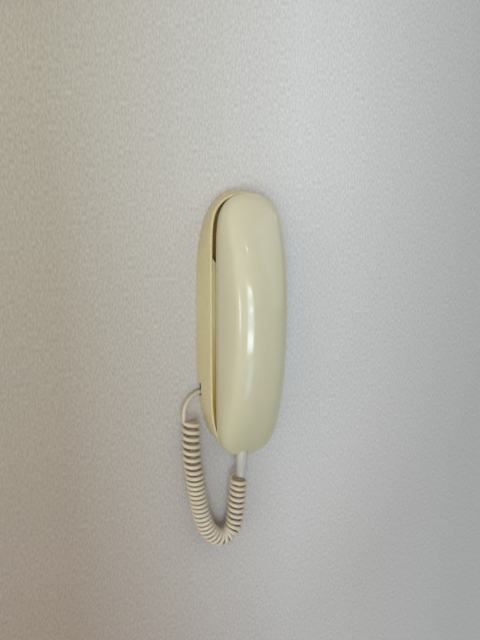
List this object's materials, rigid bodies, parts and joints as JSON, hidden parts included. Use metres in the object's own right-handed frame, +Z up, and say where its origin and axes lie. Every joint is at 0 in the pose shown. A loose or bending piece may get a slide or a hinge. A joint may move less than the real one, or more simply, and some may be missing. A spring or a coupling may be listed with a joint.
{
  "type": "wall telephone",
  "caption": "Slim wall telephone: an arched ivory handset hangs over a narrow base and is joined to its flank by a hanging curly cord.",
  "frame": {"origin": "on the wall plane, midway between the two wall screws of the bracket", "axes": "+X to the viewer's right, +Y into the wall, +Z up along the telephone"},
  "size_m": [0.0799, 0.051, 0.2755],
  "materials": {
    "ivory_handset": "gloss, lightly aged ivory",
    "ivory_base": "gloss, yellowed ivory",
    "ivory_cradle": "satin, yellowed ivory",
    "key_ivory": "fine matt",
    "cord_cream": "smooth vinyl",
    "clear_vinyl": "milky translucent vinyl",
    "steel": "zinc plated",
    "screw_steel": "plated",
    "board_green": "lacquered board",
    "component_black": "moulded",
    "black_rubber": "matt",
    "grey_rubber": "matt silicone",
    "hook_grey": "satin"
  },
  "bodies": {
    "base": {"wall_bracket": "steel", "base_shell": "ivory_base", "cradle_plate": "ivory_cradle", "cradle_screws": "screw_steel", "hanger_clip": "ivory_cradle", "base_board": "board_green", "board_parts": "component_black", "line_terminal": "component_black", "ringer": "component_black", "hook_switch": "component_black", "hook_spring": "screw_steel", "cord_clamp": "component_black", "cord_lead": "cord_cream", "cord_coil": "cord_cream", "cord_tail": "cord_cream"},
    "plunger": {"hook_plunger": "hook_grey"},
    "handset": {"handset_shell": "ivory_handset", "handset_face": "ivory_handset", "handset_screws": "screw_steel", "receiver_gasket": "black_rubber", "receiver_capsule": "component_black", "mic_boot": "black_rubber", "microphone": "screw_steel", "handset_weight": "steel", "keypad_membrane": "grey_rubber", "keypad_board": "board_green", "keypad_screws": "screw_steel", "cord_boot": "clear_vinyl"},
    "key_1": {"key_1": "key_ivory"},
    "key_2": {"key_2": "key_ivory"},
    "key_3": {"key_3": "key_ivory"},
    "key_4": {"key_4": "key_ivory"},
    "key_5": {"key_5": "key_ivory"},
    "key_6": {"key_6": "key_ivory"},
    "key_7": {"key_7": "key_ivory"},
    "key_8": {"key_8": "key_ivory"},
    "key_9": {"key_9": "key_ivory"},
    "key_star": {"key_star": "key_ivory"},
    "key_0": {"key_0": "key_ivory"},
    "key_hash": {"key_hash": "key_ivory"}
  },
  "joints": [
    {"name": "handset_lift", "type": "slide", "parent": "base", "child": "handset", "axis": [0, -0.9397, 0.342], "range_m": [0, 0.06]},
    {"name": "hook_plunger", "type": "slide", "parent": "base", "child": "plunger", "axis": [0, -1, 0], "range_m": [0, 0.0029], "deforming": ["hook_spring"]},
    {"name": "key_1_press", "type": "slide", "parent": "handset", "child": "key_1", "axis": [0, -1, 0], "range_m": [0, 0.0012], "stiffness_N_per_m": 400, "deforming": ["keypad_membrane"]},
    {"name": "key_2_press", "type": "slide", "parent": "handset", "child": "key_2", "axis": [0, -1, 0], "range_m": [0, 0.0012], "stiffness_N_per_m": 400, "deforming": ["keypad_membrane"]},
    {"name": "key_3_press", "type": "slide", "parent": "handset", "child": "key_3", "axis": [0, -1, 0], "range_m": [0, 0.0012], "stiffness_N_per_m": 400, "deforming": ["keypad_membrane"]},
    {"name": "key_4_press", "type": "slide", "parent": "handset", "child": "key_4", "axis": [0, -1, 0], "range_m": [0, 0.0012], "stiffness_N_per_m": 400, "deforming": ["keypad_membrane"]},
    {"name": "key_5_press", "type": "slide", "parent": "handset", "child": "key_5", "axis": [0, -1, 0], "range_m": [0, 0.0012], "stiffness_N_per_m": 400, "deforming": ["keypad_membrane"]},
    {"name": "key_6_press", "type": "slide", "parent": "handset", "child": "key_6", "axis": [0, -1, 0], "range_m": [0, 0.0012], "stiffness_N_per_m": 400, "deforming": ["keypad_membrane"]},
    {"name": "key_7_press", "type": "slide", "parent": "handset", "child": "key_7", "axis": [0, -1, 0], "range_m": [0, 0.0012], "stiffness_N_per_m": 400, "deforming": ["keypad_membrane"]},
    {"name": "key_8_press", "type": "slide", "parent": "handset", "child": "key_8", "axis": [0, -1, 0], "range_m": [0, 0.0012], "stiffness_N_per_m": 400, "deforming": ["keypad_membrane"]},
    {"name": "key_9_press", "type": "slide", "parent": "handset", "child": "key_9", "axis": [0, -1, 0], "range_m": [0, 0.0012], "stiffness_N_per_m": 400, "deforming": ["keypad_membrane"]},
    {"name": "key_star_press", "type": "slide", "parent": "handset", "child": "key_star", "axis": [0, -1, 0], "range_m": [0, 0.0012], "stiffness_N_per_m": 400, "deforming": ["keypad_membrane"]},
    {"name": "key_0_press", "type": "slide", "parent": "handset", "child": "key_0", "axis": [0, -1, 0], "range_m": [0, 0.0012], "stiffness_N_per_m": 400, "deforming": ["keypad_membrane"]},
    {"name": "key_hash_press", "type": "slide", "parent": "handset", "child": "key_hash", "axis": [0, -1, 0], "range_m": [0, 0.0012], "stiffness_N_per_m": 400, "deforming": ["keypad_membrane"]}
  ],
  "couplings": [
    {"joint": "hook_plunger", "follows": "handset_lift", "ratio": 0.046667}
  ]
}
